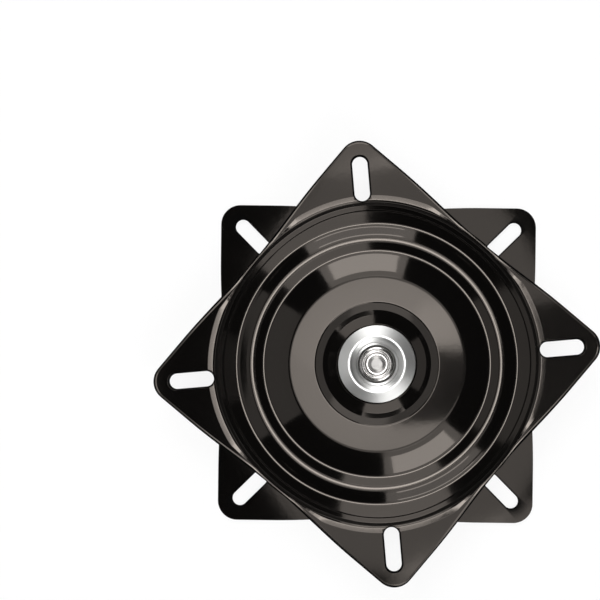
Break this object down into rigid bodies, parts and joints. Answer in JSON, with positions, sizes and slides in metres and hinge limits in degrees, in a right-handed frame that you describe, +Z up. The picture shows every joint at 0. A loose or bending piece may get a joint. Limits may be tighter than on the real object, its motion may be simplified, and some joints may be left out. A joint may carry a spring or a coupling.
{
  "type": "swivel seat base",
  "caption": "Flat ball-bearing swivel for a seat: two square pressed-steel plates in gloss black, turned on one ring of balls and held by a riveted hub, with bolt slots in the corners.",
  "frame": {"origin": "on the swivel axis, on the surface that the base plate stands on", "axes": "+Z up along the swivel axis; +X and +Y along the two diagonals of the base plate"},
  "size_m": [0.2766, 0.2766, 0.024],
  "materials": {
    "black_paint": "gloss black stove enamel on pressed steel",
    "ball_steel": "polished bearing steel",
    "nylon": "natural nylon, satin",
    "zinc_plate": "bright zinc plate with turned marks",
    "rivet_steel": "bright steel, spun over"
  },
  "bodies": {
    "base": {"base_plate": "black_paint", "hub_cup": "zinc_plate", "centre_rivet": "rivet_steel"},
    "seat": {"seat_plate": "black_paint", "glide_ring": "nylon"},
    "race": {"race_balls": "ball_steel", "ball_cage": "nylon"}
  },
  "joints": [
    {"name": "seat_swivel", "type": "hinge", "parent": "base", "child": "seat", "pos_m": [0, 0, 0.012], "axis": [0, 0, 1], "continuous": true},
    {"name": "race_roll", "type": "hinge", "parent": "base", "child": "race", "pos_m": [0, 0, 0.012], "axis": [0, 0, 1], "continuous": true}
  ],
  "couplings": [
    {"joint": "race_roll", "follows": "seat_swivel", "ratio": 0.5}
  ]
}
